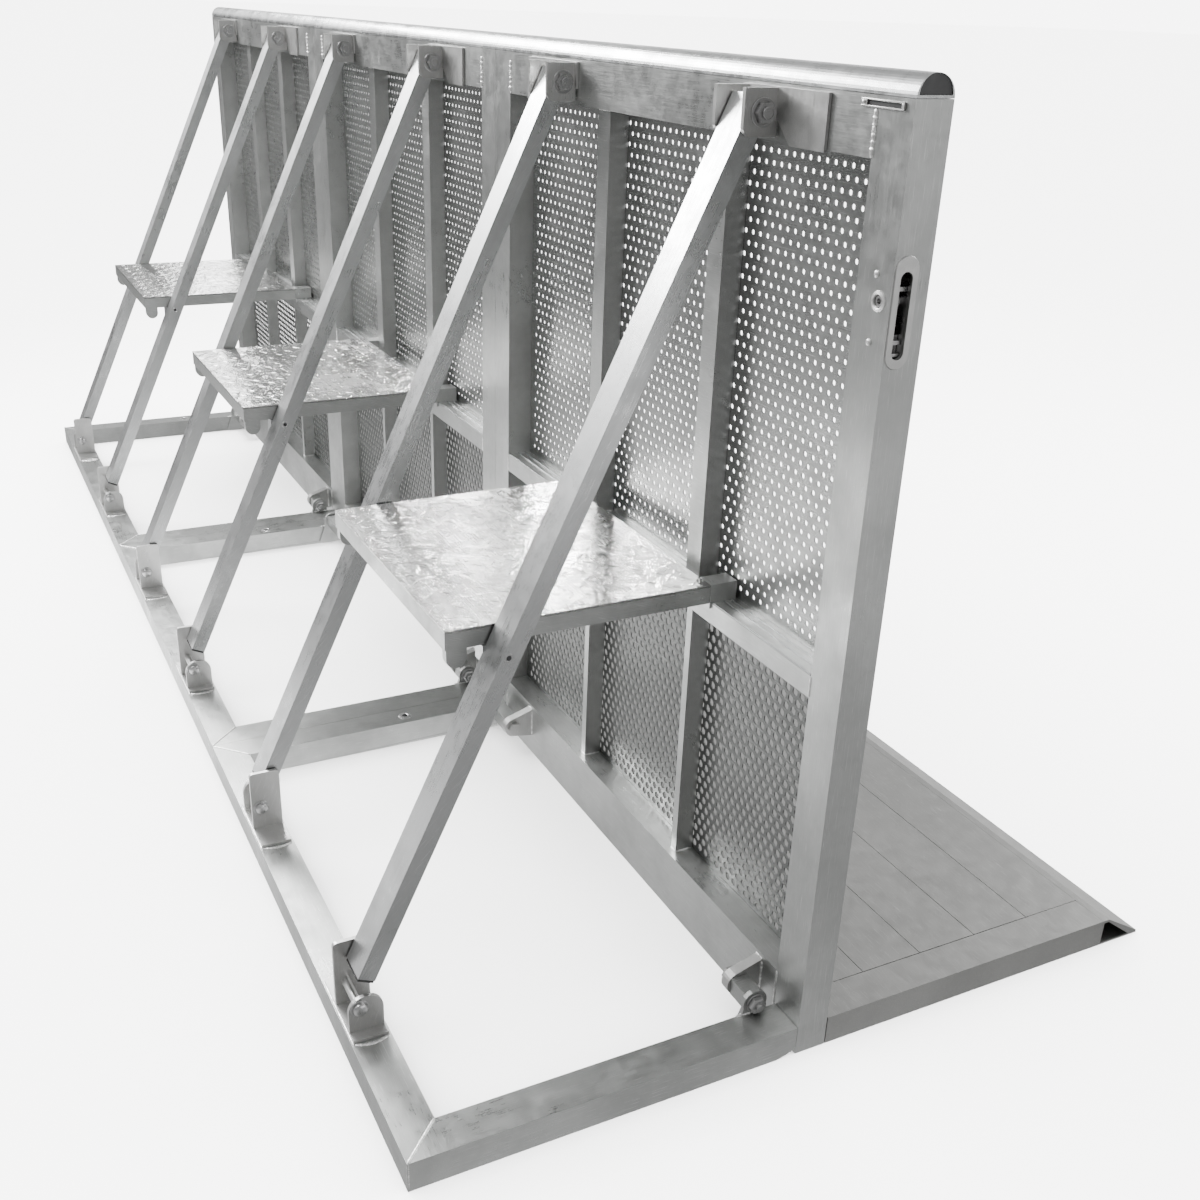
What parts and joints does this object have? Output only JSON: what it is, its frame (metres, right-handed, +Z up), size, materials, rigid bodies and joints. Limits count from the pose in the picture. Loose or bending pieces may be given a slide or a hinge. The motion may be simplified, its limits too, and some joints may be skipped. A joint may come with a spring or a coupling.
{
  "type": "folding crowd barrier run",
  "caption": "Coupled run of folding aluminium stage barriers with perforated uprights, floor plates, rear frames, struts and steps.",
  "frame": {"origin": "on the floor, under the middle of the middle bay's bottom rail", "axes": "+X along the run towards the end with the open latch slot, +Y towards the floor plates and the audience, +Z up"},
  "size_m": [3.1794, 1.2, 1.24],
  "materials": {
    "extruded_aluminium": "mill-finish extrusion, lightly brushed and scuffed",
    "perforated_aluminium": "dull punched sheet",
    "chequer_aluminium": "worn chequer plate",
    "bracket_aluminium": "welded plate, brushed",
    "zinc_steel": "zinc plated",
    "black_plastic": "moulded, matt"
  },
  "bodies": {
    "uprights": {"upright_frame_a": "extruded_aluminium", "handrail_a": "extruded_aluminium", "upper_sheet_a": "perforated_aluminium", "lower_sheet_a": "perforated_aluminium", "strut_bracket_left_a": "bracket_aluminium", "strut_bracket_right_a": "bracket_aluminium", "strut_bolt_left_a": "zinc_steel", "strut_bolt_right_a": "zinc_steel", "hinge_lug_left_a": "bracket_aluminium", "hinge_lug_right_a": "bracket_aluminium", "upright_frame_b": "extruded_aluminium", "handrail_b": "extruded_aluminium", "upper_sheet_b": "perforated_aluminium", "lower_sheet_b": "perforated_aluminium", "strut_bracket_left_b": "bracket_aluminium", "strut_bracket_right_b": "bracket_aluminium", "strut_bolt_left_b": "zinc_steel", "strut_bolt_right_b": "zinc_steel", "hinge_lug_left_b": "bracket_aluminium", "hinge_lug_right_b": "bracket_aluminium", "upright_frame_c": "extruded_aluminium", "handrail_c": "extruded_aluminium", "upper_sheet_c": "perforated_aluminium", "lower_sheet_c": "perforated_aluminium", "strut_bracket_left_c": "bracket_aluminium", "strut_bracket_right_c": "bracket_aluminium", "strut_bolt_left_c": "zinc_steel", "strut_bolt_right_c": "zinc_steel", "hinge_lug_left_c": "bracket_aluminium", "hinge_lug_right_c": "bracket_aluminium", "latch_case": "zinc_steel", "handrail_end_cap": "black_plastic"},
    "rear_frame_a": {"rear_frame_a": "extruded_aluminium", "foot_bracket_left_a": "bracket_aluminium", "foot_bracket_right_a": "bracket_aluminium"},
    "strut_left_a": {"strut_left_a": "extruded_aluminium"},
    "strut_right_a": {"strut_right_a": "extruded_aluminium"},
    "step_a": {"step_frame_a": "extruded_aluminium", "step_tread_a": "chequer_aluminium"},
    "floor_plate_a": {"floor_plate_a": "chequer_aluminium", "nose_profile_a": "extruded_aluminium"},
    "rear_frame_b": {"rear_frame_b": "extruded_aluminium", "foot_bracket_left_b": "bracket_aluminium", "foot_bracket_right_b": "bracket_aluminium"},
    "strut_left_b": {"strut_left_b": "extruded_aluminium"},
    "strut_right_b": {"strut_right_b": "extruded_aluminium"},
    "step_b": {"step_frame_b": "extruded_aluminium", "step_tread_b": "chequer_aluminium"},
    "floor_plate_b": {"floor_plate_b": "chequer_aluminium", "nose_profile_b": "extruded_aluminium"},
    "rear_frame_c": {"rear_frame_c": "extruded_aluminium", "foot_bracket_left_c": "bracket_aluminium", "foot_bracket_right_c": "bracket_aluminium"},
    "strut_left_c": {"strut_left_c": "extruded_aluminium"},
    "strut_right_c": {"strut_right_c": "extruded_aluminium"},
    "step_c": {"step_frame_c": "extruded_aluminium", "step_tread_c": "chequer_aluminium"},
    "floor_plate_c": {"floor_plate_c": "chequer_aluminium", "nose_profile_c": "extruded_aluminium"},
    "latch_cam": {"latch_cam": "zinc_steel"}
  },
  "joints": [
    {"name": "rear_fold_a", "type": "hinge", "parent": "uprights", "child": "rear_frame_a", "pos_m": [-1.06, -0.06, 0.06], "axis": [-1, 0, 0], "range_deg": [0, 80]},
    {"name": "strut_swing_left_a", "type": "hinge", "parent": "uprights", "child": "strut_left_a", "pos_m": [-1.322, -0.046, 1.185], "axis": [1, 0, 0], "range_deg": [0, 25.4]},
    {"name": "strut_swing_right_a", "type": "hinge", "parent": "uprights", "child": "strut_right_a", "pos_m": [-0.798, -0.046, 1.185], "axis": [1, 0, 0], "range_deg": [0, 25.4]},
    {"name": "step_fold_a", "type": "hinge", "parent": "uprights", "child": "step_a", "pos_m": [-1.06, -0.028, 0.5805], "axis": [-1, 0, 0], "range_deg": [0, 90.1]},
    {"name": "plate_fold_a", "type": "hinge", "parent": "uprights", "child": "floor_plate_a", "pos_m": [-1.06, 0.0255, 0.0455], "axis": [1, 0, 0], "range_deg": [0, 90]},
    {"name": "rear_fold_b", "type": "hinge", "parent": "uprights", "child": "rear_frame_b", "pos_m": [0, -0.06, 0.06], "axis": [-1, 0, 0], "range_deg": [0, 80]},
    {"name": "strut_swing_left_b", "type": "hinge", "parent": "uprights", "child": "strut_left_b", "pos_m": [-0.262, -0.046, 1.185], "axis": [1, 0, 0], "range_deg": [0, 25.4]},
    {"name": "strut_swing_right_b", "type": "hinge", "parent": "uprights", "child": "strut_right_b", "pos_m": [0.262, -0.046, 1.185], "axis": [1, 0, 0], "range_deg": [0, 25.4]},
    {"name": "step_fold_b", "type": "hinge", "parent": "uprights", "child": "step_b", "pos_m": [0, -0.028, 0.5805], "axis": [-1, 0, 0], "range_deg": [0, 90.1]},
    {"name": "plate_fold_b", "type": "hinge", "parent": "uprights", "child": "floor_plate_b", "pos_m": [0, 0.0255, 0.0455], "axis": [1, 0, 0], "range_deg": [0, 90]},
    {"name": "rear_fold_c", "type": "hinge", "parent": "uprights", "child": "rear_frame_c", "pos_m": [1.06, -0.06, 0.06], "axis": [-1, 0, 0], "range_deg": [0, 80]},
    {"name": "strut_swing_left_c", "type": "hinge", "parent": "uprights", "child": "strut_left_c", "pos_m": [0.798, -0.046, 1.185], "axis": [1, 0, 0], "range_deg": [0, 25.4]},
    {"name": "strut_swing_right_c", "type": "hinge", "parent": "uprights", "child": "strut_right_c", "pos_m": [1.322, -0.046, 1.185], "axis": [1, 0, 0], "range_deg": [0, 25.4]},
    {"name": "step_fold_c", "type": "hinge", "parent": "uprights", "child": "step_c", "pos_m": [1.06, -0.028, 0.5805], "axis": [-1, 0, 0], "range_deg": [0, 90.1]},
    {"name": "plate_fold_c", "type": "hinge", "parent": "uprights", "child": "floor_plate_c", "pos_m": [1.06, 0.0255, 0.0455], "axis": [1, 0, 0], "range_deg": [0, 90]},
    {"name": "latch_turn", "type": "hinge", "parent": "uprights", "child": "latch_cam", "pos_m": [1.57, 0, 1.016], "axis": [0, -1, 0], "range_deg": [0, 90]}
  ],
  "couplings": [
    {"joint": "strut_swing_left_a", "follows": "rear_fold_a", "ratio": 0.31625},
    {"joint": "strut_swing_right_a", "follows": "rear_fold_a", "ratio": 0.31625},
    {"joint": "step_fold_a", "follows": "rear_fold_a", "ratio": 1.125},
    {"joint": "strut_swing_left_b", "follows": "rear_fold_b", "ratio": 0.31625},
    {"joint": "strut_swing_right_b", "follows": "rear_fold_b", "ratio": 0.31625},
    {"joint": "step_fold_b", "follows": "rear_fold_b", "ratio": 1.125},
    {"joint": "strut_swing_left_c", "follows": "rear_fold_c", "ratio": 0.31625},
    {"joint": "strut_swing_right_c", "follows": "rear_fold_c", "ratio": 0.31625},
    {"joint": "step_fold_c", "follows": "rear_fold_c", "ratio": 1.125}
  ]
}
